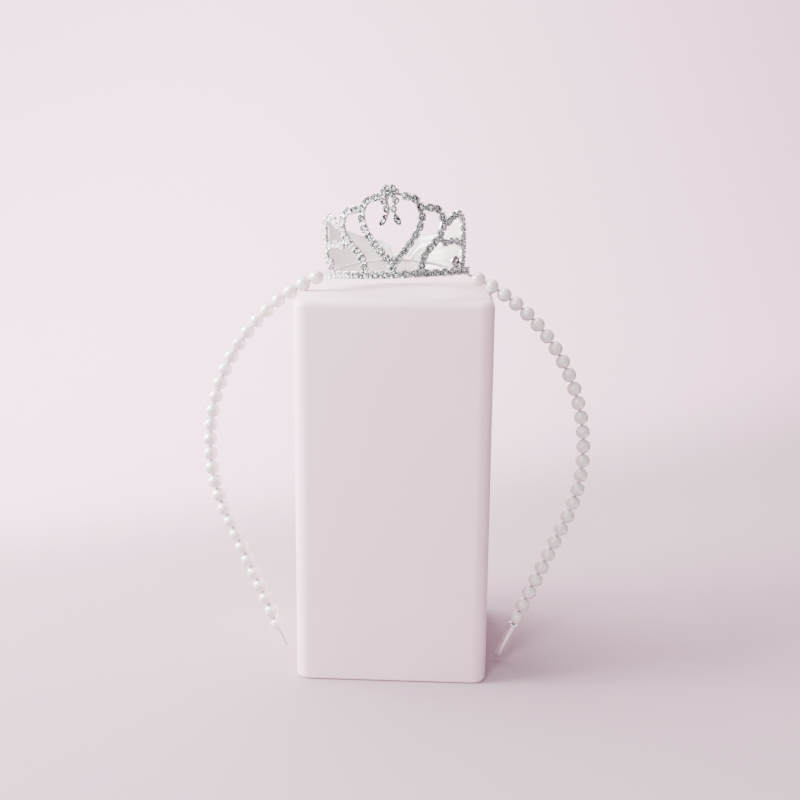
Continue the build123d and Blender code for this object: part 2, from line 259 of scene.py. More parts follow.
# %% Satin weave
warp = node(satin, "ShaderNodeTexWave", bands_direction="X", Scale=1500.0, Distortion=0.4)
weft = node(satin, "ShaderNodeTexWave", bands_direction="Y", Scale=700.0, Distortion=0.6)
threads = node(satin, "ShaderNodeMath", operation="ADD")
weave = node(satin, "ShaderNodeBump", Strength=0.18, Distance=0.00004)
join(satin, cloth, "UV", warp, "Vector")
join(satin, cloth, "UV", weft, "Vector")
satin.node_tree.links.new(warp.outputs["Fac"], threads.inputs[0])
satin.node_tree.links.new(weft.outputs["Fac"], threads.inputs[1])
join(satin, threads, "Value", weave, "Height")
join(satin, weave, "Normal", shader, "Normal")

# %% [markdown]
# ## The block
#
# The block is a square prism with rounded corners, a rounder rim at the top and
# a small round at the foot. A rounded square shrinks evenly when its half width
# and its corner radius lose the same amount, so each round is a few rows of
# smaller and smaller outlines.

# %% The block
def rounded_square(half, radius, corner_steps=14):
    """Outline: corner centre + radius * (cos a, sin a), with a quarter turn at each of the four corners."""
    turn = np.linspace(0, np.pi / 2, corner_steps)
    quarters = np.arange(4)[:, None] * np.pi / 2
    a = turn[None] + quarters
    sign = np.sign(np.cos(quarters + np.pi / 4)), np.sign(np.sin(quarters + np.pi / 4))
    return np.stack([sign[0] * (half - radius) + radius * np.cos(a),
                     sign[1] * (half - radius) + radius * np.sin(a)], axis=-1).reshape(-1, 2)


def block_surface(width=63.6, height=127.8, corner=4.8, rim=2.4, foot=0.8):
    """Rows climb the foot's round, the straight side and the rim's round.

    At the foot, inset = r (1 - sin b) and level = r (1 - cos b). At the rim, inset = r (1 - cos b) and
    level = height - r + r sin b.
    """
    b = np.linspace(0, np.pi / 2, 9)
    inset = np.concatenate([foot * (1 - np.sin(b)), rim * (1 - np.cos(b))])
    level = np.concatenate([foot * (1 - np.cos(b)), height - rim + rim * np.sin(b)])
    rows = []
    for step, z in zip(inset, level):
        outline = rounded_square(width / 2 - step, corner - step)
        rows.append(np.column_stack([outline, np.full(len(outline), z)]))
    points = np.stack(rows)
    count = points.shape[1]
    caps = [np.arange(count)[::-1][None], (np.arange(count) + (len(rows) - 1) * count)[None]]
    return points.reshape(-1, 3), [grid_quads(len(rows), count, wrap_columns=True), *caps]


block = piece("block", [block_surface()], paint)
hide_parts("display_block")


# %% [markdown]
# ## The headband's line
#
# The wire is an arch of radius 63.2, then an arc of radius 58 on each side, and
# a straight arm down to the ground. A length measured from the top tells which
# stretch a point is on, so np.where picks the formula for a whole array.

# %% The headband's line
arch_radius, arch_height, side_radius, side_turn, tip_height = 63.2, 138.4, 58.0, np.radians(23.8), 1.85
arch_centre = arch_height - arch_radius
arch_length = np.pi / 2 * arch_radius
side_length = side_turn * side_radius
straight_x = arch_radius - side_radius + side_radius * np.cos(side_turn)
straight_y = arch_centre - side_radius * np.sin(side_turn)
arm_length = arch_length + side_length + (straight_y - tip_height) / np.cos(side_turn)


def along_arm(reach):
    """Flat place and heading at a length from the top; a negative length is on the left arm."""
    s = np.abs(reach)
    turn = np.where(s < arch_length, s / arch_radius,
                    np.pi / 2 + np.minimum((s - arch_length) / side_radius, side_turn))
    rest = np.maximum(s - arch_length - side_length, 0)
    radius = np.where(s < arch_length, arch_radius, side_radius)
    x = arch_radius - radius + radius * np.sin(turn) + rest * np.cos(turn)
    y = arch_centre + radius * np.cos(turn) - rest * np.sin(turn)
    side = np.sign(reach) + (np.asarray(reach) == 0)
    return np.stack([side * x, y], axis=-1), np.stack([np.cos(turn), -side * np.sin(turn)], axis=-1)


def set_on_band(flat):
    """Place in space of flat points (x, y) of the headband's plane."""
    return band_foot + flat[..., :1] * band_axes[0] + flat[..., 1:] * band_axes[2]


print("arm length in mm:", round(float(arm_length), 1))


# %% [markdown]
# ## Wire, pearls and sleeves
#
# All three are profiles carried along the headband's line. A bead's profile is
# a half circle that stops at its bore and comes back through it, so the shell
# closes on itself with no pole. A seeded generator makes each bead a little
# different in size, as moulded beads are.

# %% The bare wire
def tube(path, across, away, radius, columns=10, closed=False):
    """Ring at each path point: point + radius * (across cos a + away sin a)."""
    a = np.arange(columns) / columns * 2 * np.pi
    ring = across[:, None] * np.cos(a)[:, None] + away[:, None] * np.sin(a)[:, None]
    points = (path[:, None] + radius * ring).reshape(-1, 3)
    faces = [grid_quads(len(path), columns, wrap_rows=closed, wrap_columns=True)]
    if not closed:
        last = np.arange(columns)[None] + (len(path) - 1) * columns
        faces += [np.arange(columns)[::-1][None], last]
    return points, faces


wire_radius, wire_stop = 0.45, 2.5
reach = np.linspace(-arm_length + wire_stop, arm_length - wire_stop, 420)
flat, heading = along_arm(reach)
sideways = heading[:, 1:] * -band_axes[0] + heading[:, :1] * band_axes[2]
behind = np.broadcast_to(band_axes[1], sideways.shape)
wire = piece("wire", [tube(set_on_band(flat), sideways, behind, wire_radius)], wire_silver)
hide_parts("headband_wire")


# %% Pearls
bead_radius, bead_gap, bead_pitch, first_bead = 2.43, 0.12, 4.98, 27.6
arms = ("left", -1, 29), ("right", 1, 28)


def bead(radius, bore=0.56, rows=16, columns=26):
    """Profile: radius * (sin a, cos a) from bore to bore, then back along the bore; the axis is Z."""
    edge = np.arcsin(bore / radius)
    a = np.linspace(edge, np.pi - edge, rows)
    out = np.concatenate([radius * np.sin(a), [bore * 0.94, bore * 0.94]])
    along = np.concatenate([radius * np.cos(a), [radius * np.cos(a[-1]) * 0.9, radius * np.cos(a[0]) * 0.9]])
    b = np.arange(columns) / columns * 2 * np.pi
    points = np.stack(np.broadcast_arrays(out[:, None] * np.cos(b), out[:, None] * np.sin(b), along[:, None]), axis=-1)
    return points.reshape(-1, 3), [grid_quads(len(out), columns, wrap_rows=True, wrap_columns=True)]


rng = np.random.default_rng(7)
bead_points, bead_faces = bead(bead_radius)
for side, sign, count in arms:
    place, heading = along_arm(sign * (first_bead + bead_pitch * np.arange(count)))
    axis = heading[:, :1] * band_axes[0] + heading[:, 1:] * band_axes[2]
    first = np.broadcast_to(band_axes[1], axis.shape)
    second = np.cross(axis, first)
    size = 1 + rng.uniform(-0.012, 0.004, (count, 1, 1))
    spin = rng.uniform(0, 2 * np.pi, (count, 1))
    across = first * np.cos(spin) + second * np.sin(spin)
    away = np.cross(axis, across)
    turned_beads = (bead_points[None, :, :1] * across[:, None] + bead_points[None, :, 1:2] * away[:, None]
                    + bead_points[None, :, 2:] * axis[:, None])
    strung = repeated(set_on_band(place)[:, None] + size * turned_beads, bead_faces)
    string = piece(f"pearls_on_{side}_arm", [strung], pearl)
    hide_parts(f"pearls_{side}")


# %% [markdown]
# A sleeve is a small turned tube with a slightly rolled mouth and a blunt nose.
# Its profile is a short table of distances from the tip and radii.

# %% End sleeves
def lathe(profile, origin, across, away, axis, columns=28):
    """Each profile row (along, radius) becomes a ring round the axis; the first and last rings are capped."""
    a = np.arange(columns) / columns * 2 * np.pi
    ring = np.cos(a)[:, None] * across + np.sin(a)[:, None] * away
    points = origin + profile[:, :1, None] * axis + profile[:, 1:, None] * ring
    last = np.arange(columns)[None] + (len(profile) - 1) * columns
    faces = [grid_quads(len(profile), columns, wrap_columns=True), np.arange(columns)[::-1][None], last]
    return points.reshape(-1, 3), faces


nose_turn, nose_radius = np.linspace(0, np.pi / 2, 8), 1.55
for side, sign, count in arms:
    start = first_bead + (count - 1) * bead_pitch + bead_radius + bead_gap
    length = arm_length - start
    mouth = np.array([(length - 2.4, 0.5), (0.5, 0.56), (0.1, 0.7), (0.0, 1.2), (0.1, 1.6), (0.45, 1.7),
                      (0.9, 1.66), (1.3, 1.68)])
    nose = np.column_stack([length - nose_radius + nose_radius * np.sin(nose_turn),
                            0.15 + nose_radius * np.cos(nose_turn)])
    profile = np.concatenate([mouth, nose])
    place, heading = along_arm(np.array(sign * start))
    axis = heading[0] * band_axes[0] + heading[1] * band_axes[2]
    first = band_axes[1]
    sleeve = piece(f"sleeve_{side}", [lathe(profile, set_on_band(place), np.cross(first, axis), first, axis)],
                   sleeve_silver)
    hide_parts(f"end_sleeve_{side}")


# %% [markdown]
# ## Where the stones sit
#
# The CAD frame already holds every stone, so the seats are read from it instead
# of being typed again. Corners that share a place get one number, each face
# passes its lowest number round, and when nothing changes each number is one
# stone. Its middle, turned into the crown's own frame, gives an angle from the
# front and a height.

# %% Seats of the stones
def solids(name):
    """Groups of corners of a CAD node.

    A corner's number = the lowest number in any face that it is in, again and again until all agree.
    """
    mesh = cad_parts[name].data
    places = np.empty(len(mesh.vertices) * 3)
    mesh.vertices.foreach_get("co", places)
    corner = np.empty(len(mesh.loops), int)
    mesh.loops.foreach_get("vertex_index", corner)
    places, label = np.unique(np.round(places.reshape(-1, 3), 6), axis=0, return_inverse=True)
    faces = label.ravel()[corner].reshape(-1, 3)
    number, before = np.arange(len(places)), None
    while not np.array_equal(number, before):
        before = number.copy()
        np.minimum.at(number, faces.ravel(), np.repeat(before[faces].min(axis=1), 3))
    return [places[number == k] / MM for k in np.unique(number)]


def seats(name):
    """Angle from the front in degrees and height in mm of each stone's middle on the crown's wall."""
    middle = np.array([(group.min(axis=0) + group.max(axis=0)) / 2 for group in solids(name)])
    local = (middle - crown_centre) @ crown_axes.T
    return np.degrees(np.arctan2(local[:, 0], -local[:, 1])), local[:, 2]


def on_wall(angle, height, template):
    """Template points (along, up, out) set on the crown's wall.

    Place = centre + (radius + out) * radial + along * tangent + (height + up) * axis.
    """
    a = np.radians(np.atleast_1d(angle))[:, None, None]
    right, back, up = crown_axes
    radial = right * np.sin(a) - back * np.cos(a)
    tangent = right * np.cos(a) + back * np.sin(a)
    lift = np.atleast_1d(height)[:, None, None]
    return (crown_centre + radial * (crown_radius + template[None, :, 2:]) + tangent * template[None, :, :1]
            + up * (lift + template[None, :, 1:2]))


# Length along the chain, width across it, and how square the outline is
cup_sizes = {
    "base_stones": (2.8, 2.5, 5), "heart_stones_left": (2.8, 2.5, 5), "heart_stones_right": (2.8, 2.5, 5),
    "inner_loop_stones_left": (2.8, 2.5, 5), "inner_loop_stones_right": (2.8, 2.5, 5),
    "outer_loop_stones_left": (2.8, 2.5, 5), "outer_loop_stones_right": (2.8, 2.5, 5),
    "scroll_stones_left": (2.4, 2.2, 5), "scroll_stones_right": (2.4, 2.2, 5),
    "scroll_eye_stone_left": (3.9, 3.9, 2), "scroll_eye_stone_right": (3.9, 3.9, 2),
    "flower_petal_stones": (1.9, 1.9, 2), "flower_centre_stone": (1.6, 1.6, 2),
    "bow_upper_stones": (2.4, 2.4, 2), "bow_lower_stones": (2.2, 2.2, 2),
}
in_chain = [name for name, size in cup_sizes.items() if size[2] > 2]


def neighbours(angle, height, reach=3.5):
    """Pairs (i, j) of spots that are nearer than the reach on the unrolled wall, and the steps between them."""
    flat = np.column_stack([np.radians(angle) * crown_radius, height])
    step = flat[None] - flat[:, None]
    i, j = np.nonzero((np.linalg.norm(step, axis=2) < reach) & ~np.eye(len(flat), dtype=bool))
    return i, j, step[i, j]


def slants(angle, height):
    """Mean direction f to the neighbours; doubled angles make opposite steps agree.

    2 slant = atan2(sum of sin 2f, sum of cos 2f).
    """
    i, j, step = neighbours(angle, height)
    doubled = 2 * np.arctan2(step[:, 1], step[:, 0])
    sines, cosines = (np.bincount(i, wave(doubled), len(angle)) for wave in (np.sin, np.cos))
    return 0.5 * np.arctan2(sines, cosines)


seat_of = {}
for name in cup_sizes:
    angle, height = seats(name)
    seat_of[name] = angle, height, slants(angle, height) if name in in_chain else 0 * angle
drop_middle, drop_apart, drop_height, drop_slant = -1.0, 5.2, 17.0, np.radians(63.0)
for side, sign in (("left", -1), ("right", 1)):
    drop = drop_middle + sign * drop_apart, drop_height, -sign * drop_slant
    seat_of[f"bow_drop_{side}"] = tuple(np.array([value]) for value in drop)
cup_sizes["bow_drop_left"] = cup_sizes["bow_drop_right"] = (3.7, 2.1, 2)


def on_seats(seat, template):
    """One template, or one for each seat, turned in the wall's plane by the seat's slant and set on the wall."""
    angle, height, slant = (part[:, None] for part in seat)
    along, beside, out = np.moveaxis(np.broadcast_to(template, (len(angle), *template.shape[-2:])), -1, 0)
    turned_template = np.stack([along * np.cos(slant) - beside * np.sin(slant),
                                along * np.sin(slant) + beside * np.cos(slant), out], axis=-1)
    return np.concatenate([on_wall(angle[k], height[k], turned_template[k]) for k in range(len(angle))])


print("stones:", sum(len(seat[0]) for seat in seat_of.values()))


# %% [markdown]
# ## Cut stones
#
# A cut stone has an eight-sided table, kites below its corners, and triangles
# between them down to the girdle. The pointed back is foiled. Flat shading
# keeps the facets crisp: each one mirrors another part of the room, and that
# is what sparkle is.

# %% Cut stones
cup_wall, stone_gap = 0.2, 0.06
girdle_low_level, girdle_level = 0.72, 0.80
girdle_middle = (girdle_low_level + girdle_level) / 2


def brilliant(length, width, crown=0.34, back=0.36):
    """Points and faces of one stone: sixteen corners round each edge of the girdle, eight in each other ring.

    Shares of the half sizes are 1 at the girdle, 0.81 and 0.58 in the crown, and 0.5 and 0.08 in the back.
    """
    def ring(share, count, shift, height):
        a = (np.arange(count) + shift) / count * 2 * np.pi
        return np.column_stack([share * length / 2 * np.cos(a), share * width / 2 * np.sin(a),
                                np.full(count, height)])
    rise = crown * width / 2
    girdle_low, girdle = ring(1.0, 16, 0, girdle_low_level), ring(1.0, 16, 0, girdle_level)
    middle, table = ring(0.81, 8, 0.5, girdle_level + 0.55 * rise), ring(0.58, 8, 0, girdle_level + rise)
    pavilion = ring(0.5, 8, 0.5, girdle_low_level - 0.45 * back)
    culet = ring(0.08, 8, 0, girdle_low_level - back)
    points = np.concatenate([girdle_low, girdle, middle, table, pavilion, culet])
    k = np.arange(8)
    nxt = (k + 1) % 8
    low, top, mid, tab, pav, tip = 0, 16, 32, 40, 48, 56
    even, odd, even_next = 2 * k, 2 * k + 1, (2 * k + 2) % 16
    kites = np.stack([tab + k, mid + (k - 1) % 8, top + even, mid + k], axis=1)
    stars = np.stack([tab + k, mid + k, tab + nxt], axis=1)
    halves = np.concatenate([np.stack([mid + k, top + even, top + odd], axis=1),
                             np.stack([mid + k, top + odd, top + even_next], axis=1)])
    edge = grid_quads(2, 16, wrap_columns=True)
    back_halves = np.concatenate([np.stack([pav + k, low + odd, low + even], axis=1),
                                  np.stack([pav + k, low + even_next, low + odd], axis=1)])
    back_kites = np.stack([tip + k, pav + k, low + even, pav + (k - 1) % 8], axis=1)
    back_stars = np.stack([tip + k, tip + nxt, pav + k], axis=1)
    front = [kites, stars, halves, edge, (tab + k)[None]]
    rear = [back_halves, back_kites, back_stars, (tip + k)[::-1][None]]
    return points, front, rear


def set_stones(name, points):
    """The stones of one CAD node: crowns of crystal, backs of foil."""
    faces = stone_front + stone_rear
    joined, moved = repeated(points, faces)
    stones = piece(name + "_cut", [(joined, moved)], crystal, smooth=False)
    stones.data.materials.append(foil)
    index = np.concatenate([np.full(len(part), 0 if number < len(stone_front) else 1)
                            for number, part in enumerate(moved)])
    stones.data.polygons.foreach_set("material_index", index)
    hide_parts(name)


def tipped(template, count, most=np.radians(5.0)):
    """Small turns of each stone about its girdle: lifted by tip_x * along + tip_y * across."""
    tips = rng.uniform(-most, most, (count, 1, 2))
    height = template[None, :, 2] - girdle_middle
    flat = template[None, :, :2] - tips * height[..., None]
    lifted = girdle_middle + height + (template[None, :, :2] * tips).sum(axis=2)
    return np.concatenate([flat, lifted[..., None]], axis=-1)


less = 2 * (cup_wall + stone_gap)
for name, (length, width, square) in cup_sizes.items():
    stone_length = (length if square == 2 else width) - less
    template, stone_front, stone_rear = brilliant(stone_length, width - less)
    set_stones(name, on_seats(seat_of[name], tipped(template, len(seat_of[name][0]))))


# %% [markdown]
# ## The silver setting
#
# Each stone stands in a cup whose wall rises into four claws that bend over its
# crown. A chain's cup is a rounded square outside and a round pocket inside, so
# each row of its profile is a mix of the two outlines, and a weight lifts the
# rim and pulls it inwards where the angle is near a claw. Cups are linked by
# flat bars and soldered to the ring of wire, so all of them go into one piece.

# %% Cups with claws
cup_rows = np.array([
    # share of the outline, share of the pocket, height, claw's change of share, claw's rise
    (0.70, 0.00, -0.20, 0.00, 0.00),
    (0.90, 0.00, -0.20, 0.00, 0.00),
    (0.97, 0.00, -0.12, 0.00, 0.00),
    (1.00, 0.00, 0.10, 0.00, 0.00),
    (1.00, 0.00, 0.64, 0.00, 0.14),
    (0.98, 0.00, 0.71, 0.00, 0.24),
    (0.94, 0.00, 0.74, -0.02, 0.30),
    (0.50, 0.46, 0.75, -0.08, 0.32),
    (0.04, 0.97, 0.75, -0.08, 0.27),
    (0.00, 1.00, 0.70, -0.05, 0.16),
    (0.00, 1.00, 0.50, 0.00, 0.00),
    (0.00, 0.98, 0.31, 0.00, 0.00),
])


def cup(length, width, square, columns=32):
    """Outline = half size * |cos a|^(2/n) and |sin a|^(2/n) with signs; claw = max(cos 4(a - 45), 0)^2."""
    a = np.arange(columns) / columns * 2 * np.pi
    wave = np.stack([np.cos(a), np.sin(a)], axis=-1)
    outline = np.sign(wave) * np.abs(wave) ** (2 / square) * (length / 2, width / 2)
    pocket = wave * ((length if square == 2 else width) / 2 - cup_wall, width / 2 - cup_wall)
    claw = np.maximum(np.cos(4 * (a - np.pi / 4)), 0) ** 2
    outer, inner, level, change, lift = cup_rows.T[:, :, None]
    flat = (outer + change * claw)[..., None] * outline + inner[..., None] * pocket
    height = level + lift * claw * min(1.0, width / 2.5)
    points = np.concatenate([flat, height[..., None]], axis=-1)
    last = np.arange(columns)[None] + (len(cup_rows) - 1) * columns
    faces = [grid_quads(len(cup_rows), columns, wrap_columns=True), np.arange(columns)[::-1][None], last]
    return points.reshape(-1, 3), faces


def bar(first, second, width):
    """Six-sided strips between pairs of (angle, height), from 0.1 mm behind the wall to 0.22 mm in front of it."""
    ends = [on_wall(*pair.T, np.zeros((1, 3)))[:, 0] for pair in (first, second)]
    run = ends[1] - ends[0]
    middle = np.radians((first[:, 0] + second[:, 0]) / 2)[:, None]
    out = crown_axes[0] * np.sin(middle) - crown_axes[1] * np.cos(middle)
    side = np.cross(out, run)
    side /= np.linalg.norm(side, axis=1, keepdims=True)
    shape = np.array([(-0.5, 0.0), (-0.3, 0.22), (0.3, 0.22), (0.5, 0.0), (0.3, -0.1), (-0.3, -0.1)])
    section = shape[None, :, :1] * width * side[:, None] + shape[None, :, 1:] * out[:, None]
    points = np.concatenate([ends[0][:, None] + section, ends[1][:, None] + section], axis=1)
    caps = [np.arange(6)[None], np.arange(6, 12)[::-1][None]]
    return repeated(points, [grid_quads(2, 6, wrap_columns=True)[:, ::-1], *caps])


print("a cup has", len(cup(2.8, 2.5, 5)[0]), "points")

# %% [markdown]
# Cups that are neighbours on the wall are linked, whichever chain they are in,
# so the same search that found the slants gives the links. The longer solder
# bars are a table for the right side, and the left side is its mirror image. A
# small plate of the same section stands behind the flower's cups.

# %% Ring, links and solder bars
solder_rows = np.array([
    # angle and height of one end, angle and height of the other
    (35.0, 10.6, 42.0, 9.5),
    (55.0, 3.6, 55.0, 0.4),
    (55.0, 3.6, 62.0, 2.9),
    (0.0, 25.7, 11.3, 24.0),
    (0.0, 25.7, 3.5, 22.85),
    (3.5, 22.85, 1.8, 20.35),
    (1.8, 20.35, 4.2, 17.0),
])
solder_rows = np.concatenate([solder_rows, solder_rows * (-1, 1, -1, 1)])
chain_angle, chain_height = (np.concatenate([seat_of[name][part] for name in in_chain]) for part in (0, 1))
i, j, _ = neighbours(chain_angle, chain_height)
i, j = i[i < j], j[i < j]
spots = np.column_stack([chain_angle, chain_height])

plate_left, plate_right = np.array([(-5.0, 25.6)]), np.array([(3.4, 25.6)])
link_width, solder_width, plate_width = 1.6, 0.9, 3.0
shells = [bar(spots[i], spots[j], link_width), bar(solder_rows[:, :2], solder_rows[:, 2:], solder_width),
          bar(plate_left, plate_right, plate_width)]
for name, size in cup_sizes.items():
    template, faces = cup(*size)
    shells.append(repeated(on_seats(seat_of[name], template), faces))

ring_radius, ring_drop, ring_wire = 23.55, 0.45, 0.35
a = np.linspace(0, 2 * np.pi, 200, endpoint=False)[:, None]
outward = crown_axes[0] * np.cos(a) + crown_axes[1] * np.sin(a)
ring_path = crown_centre + outward * ring_radius - crown_axes[2] * ring_drop
upward = np.broadcast_to(crown_axes[2], outward.shape)
shells.append(tube(ring_path, upward, outward, ring_wire, closed=True))
setting = piece("tiara_setting", shells, setting_silver)
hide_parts("tiara_frame")
print("links:", len(i), "solder bars:", len(solder_rows))

# %% [markdown]
# ## The satin ribbon
#
# A wide satin ribbon closes the back half of the crown. Each panel is gathered
# into the knot at the middle of the back, so its top edge falls towards the
# knot and its pleats fan out from there. A panel is a surface of two numbers:
# an angle that falls from the side to the knot, and t, which runs from the
# bottom edge to the top. The pleats keep their place in t, and their depth grows
# towards the knot.

# %% Satin panels
ribbon_radius = 22.5
# Columns: angle from the middle of the back, wall radius, height of the top edge
panel_rows = {
    "left": np.array([
        (85.0, 22.5, 16.6), (74.0, 22.5, 17.4), (66.0, 22.1, 16.4), (57.0, 22.5, 14.9), (45.0, 22.5, 13.4),
        (36.0, 22.0, 12.2), (27.0, 22.5, 11.5), (15.0, 22.4, 9.9), (8.5, 21.9, 8.8), (6.3, 21.5, 5.0),
    ]),
    "right": np.array([
        (85.0, 22.5, 17.2), (71.0, 22.5, 17.4), (63.0, 21.5, 16.6), (57.0, 22.5, 15.2), (46.0, 22.5, 12.6),
        (37.0, 22.1, 11.4), (28.0, 22.5, 11.6), (19.0, 22.5, 11.2), (12.0, 22.0, 7.4), (7.2, 21.5, 4.4),
    ]),
}


def eased(at, where, values):
    """Smooth run through a table: between two rows, share = 3 f^2 - 2 f^3."""
    order = np.argsort(where)
    where, values = where[order], values[order]
    k = np.clip(np.searchsorted(where, at) - 1, 0, len(where) - 2)
    f = np.clip((at - where[k]) / (where[k + 1] - where[k]), 0, 1)
    return values[k] + (values[k + 1] - values[k]) * (3 * f ** 2 - 2 * f ** 3)


def panel_surface(rows, sign, phase, columns=150, lines=64):
    """Radius = wall + depth(angle) * pleats(t) + soft waves, with a rolled hem at both edges."""
    angle = np.linspace(rows[0, 0], rows[-1, 0], columns)[None]
    t = np.linspace(0, 1, lines)[:, None]
    top = np.interp(angle, rows[::-1, 0], rows[::-1, 2])
    wall = eased(angle, rows[:, 0], rows[:, 1])
    near_knot = np.clip((50 - angle) / 43, 0, 1)
    depth = 0.10 + 0.42 * near_knot ** 1.4
    pleats = 0.6 * np.sin(2 * np.pi * (3.1 * t + phase)) + 0.4 * np.sin(2 * np.pi * (5.3 * t + 2 * phase))
    soft = 0.12 * np.sin(np.radians(angle) * 9 + 4 * t + phase * 6)
    hem = 0.22 * (np.exp(-((t - 0.02) / 0.03) ** 2) + np.exp(-((t - 0.975) / 0.03) ** 2))
    radius = wall + depth * pleats + soft + hem
    height = -1.2 + (top + 1.2) * t
    a = np.radians(180 - sign * angle)
    right, back, up = crown_axes
    out = right * np.sin(a)[..., None] - back * np.cos(a)[..., None]
    points = crown_centre + out * radius[..., None] + up * height[..., None]
    along = sign * np.radians(angle) * ribbon_radius * MM
    cloth_uv = np.stack([np.broadcast_to(along, height.shape), height * MM], axis=-1)
    faces = grid_quads(lines, columns)
    return points.reshape(-1, 3), [faces[:, ::-1] if sign > 0 else faces], cloth_uv.reshape(-1, 2)


for side, sign, phase in (("left", -1, 0.15), ("right", 1, 0.55)):
    points, faces, cloth_uv = panel_surface(panel_rows[side], sign, phase)
    panel = piece(f"satin_{side}", [(points, faces)], satin, uv=cloth_uv)
    thickness = panel.modifiers.new("cloth", "SOLIDIFY")
    thickness.thickness, thickness.offset = 0.00028, 0.0
    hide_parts(f"ribbon_{side}")


# %% [markdown]
# ## The knot
#
# A short band of the same satin wraps the ring and the ends of both panels. It
# is a soft closed form: rounder than a box and squarer than a ball, which is a
# superellipsoid. Creases run round it the way the band is wound.

# %% The knot
def power(value, exponent):
    """Signed power: sign(v) |v|^e."""
    return np.sign(value) * np.abs(value) ** exponent


def knot_surface(half=(2.1, 3.1, 2.4), rows=48, columns=72):
    """Along = w sin^e v; up and out = (h sin^e u, d cos^e u) cos^e v, pulled in by creases in v."""
    v = np.linspace(-np.pi / 2, np.pi / 2, rows)[1:-1, None]
    u = np.arange(columns)[None] / columns * 2 * np.pi
    crease = 1 - 0.035 * (1 + np.sin(v * 11 + 0.5 * np.sin(u * 2))) - 0.02 * np.sin(v * 23 + u)
    along = half[0] * power(np.sin(v), 0.75) * np.ones_like(u)
    across = power(np.cos(v), 0.55) * crease
    up = half[1] * power(np.sin(u), 0.8) * across
    out = half[2] * power(np.cos(u), 0.8) * across
    points = np.stack([along, up, out], axis=-1).reshape(-1, 3)
    last = np.arange(columns)[None] + (rows - 3) * columns
    return points, [grid_quads(rows - 2, columns, wrap_columns=True), np.arange(columns)[::-1][None], last]


knot_angle, knot_height, knot_radius = 179.5, 1.3, 22.2
template, faces = knot_surface()
template = template + np.array([0.0, knot_height, knot_radius - crown_radius])
points = on_wall(knot_angle, 0.0, template)[0]
flat_uv = template[:, :2] * MM
knot = piece("satin_knot", [(points, faces)], satin, uv=flat_uv)
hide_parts("ribbon_knot")

# %% [markdown]
# ## Stage
#
# The ground is one wide sheet of paper that lies flat under the block and curves
# up behind it. Its tone rises softly where the curve starts, a little nearer on
# the left. This is painted light: a brighter tone that stands in for the window's
# light on the back and left of the paper. The rise is painted by place, so it
# looks the same from every side, and the world is one even pale pink.

# %% Floor and world
floor_paint, shader = finish("floor_paper", Roughness=0.9, Specular_IOR_Level=0.1)
place = node(floor_paint, "ShaderNodeTexCoord")
# Painted light: the paper's tone brightens towards the back and the left, where the window's light falls.
depth = node(floor_paint, "ShaderNodeVectorMath", operation="DOT_PRODUCT")
depth.inputs[1].default_value = (-0.55, 1.0, 0.0)
rise = node(floor_paint, "ShaderNodeMapRange", interpolation_type="SMOOTHSTEP")
rise.inputs["From Min"].default_value, rise.inputs["From Max"].default_value = 0.12, 0.26
tone = two_tones(floor_paint, 0.0, (0.385, 0.29, 0.335), 1.0, (0.64, 0.435, 0.54))
floor_paint.node_tree.links.new(place.outputs["Object"], depth.inputs[0])
join(floor_paint, depth, "Value", rise, "Value")
join(floor_paint, rise, "Result", tone, "Fac")
join(floor_paint, tone, "Color", shader, "Base Color")


def sweep_surface(start=0.16, radius=0.62, reach=3.0, columns=41):
    """Rows run flat to the start, then y = start + r sin b and z = r (1 - cos b), then straight up.

    All of it lies 0.1 mm below the ground, so it never shares a plane with the model's foot.
    """
    b = np.linspace(0, np.pi / 2, 40)
    y = np.concatenate([np.linspace(-reach, start, 30)[:-1], start + radius * np.sin(b), [start + radius]])
    z = np.concatenate([np.zeros(29), radius * (1 - np.cos(b)), [reach]]) - 0.0001
    x = np.linspace(-reach, reach, columns)
    points = np.stack(np.broadcast_arrays(x, y[:, None], z[:, None]), axis=-1)
    return points.reshape(-1, 3), grid_quads(len(y), columns)[:, ::-1]


def stage_piece(name, points, faces, material, only_mirrored=False):
    """One mesh object of the stage, in metres; a card is hidden from the camera and from soft light."""
    mesh = bpy.data.meshes.new(name)
    mesh.from_pydata(points.tolist(), [], faces.tolist())
    mesh.polygons.foreach_set("use_smooth", np.full(len(faces), True))
    mesh.materials.append(material)
    made = bpy.data.objects.new(name, mesh)
    bpy.context.scene.collection.objects.link(made)
    if only_mirrored:
        made.visible_camera = made.visible_diffuse = made.visible_shadow = made.visible_volume_scatter = False


stage_piece("paper_sweep", *sweep_surface(), floor_paint)

world = bpy.data.worlds.new("pale_room")
world.use_nodes = True
bpy.context.scene.world = world
sky = world.node_tree.nodes["Background"]
sky.inputs["Strength"].default_value = 1.0
sky.inputs["Color"].default_value = (0.60, 0.545, 0.57, 1)
print("floor and world are ready")


# %% [markdown]
# ### A dark card with bright slits
#
# Silver and foil show only what they mirror, and in an all-white room they turn
# white. A jeweller's photographer puts dark cards with slits in front of them.
# This card is a bowl round the front, with patches of noise for slits. Only
# mirrored and refracted rays see it, so it changes neither the picture's ground
# nor the soft light.

# %% Dark card
def card_surface(low=-75, high=115, columns=60):
    """Ring at each row (radius, height), swept through angles from the front: x = r sin a, y = -r cos a."""
    rows = np.array([(0.12, 0.002), (0.5, 0.002), (0.72, 0.03), (0.8, 0.3), (0.74, 0.62), (0.6, 0.8)])
    a = np.radians(np.linspace(low, high, columns))[None]
    points = np.stack(np.broadcast_arrays(rows[:, :1] * np.sin(a), -rows[:, :1] * np.cos(a), rows[:, 1:]), axis=-1)
    return points.reshape(-1, 3), grid_quads(len(rows), columns)


def glowing(name, strength):
    """A material that only glows, and its emission node."""
    material = bpy.data.materials.new(name)
    material.use_nodes = True
    material.node_tree.nodes.clear()
    glow = node(material, "ShaderNodeEmission", Strength=strength)
    join(material, glow, "Emission", node(material, "ShaderNodeOutputMaterial"), "Surface")
    return material, glow


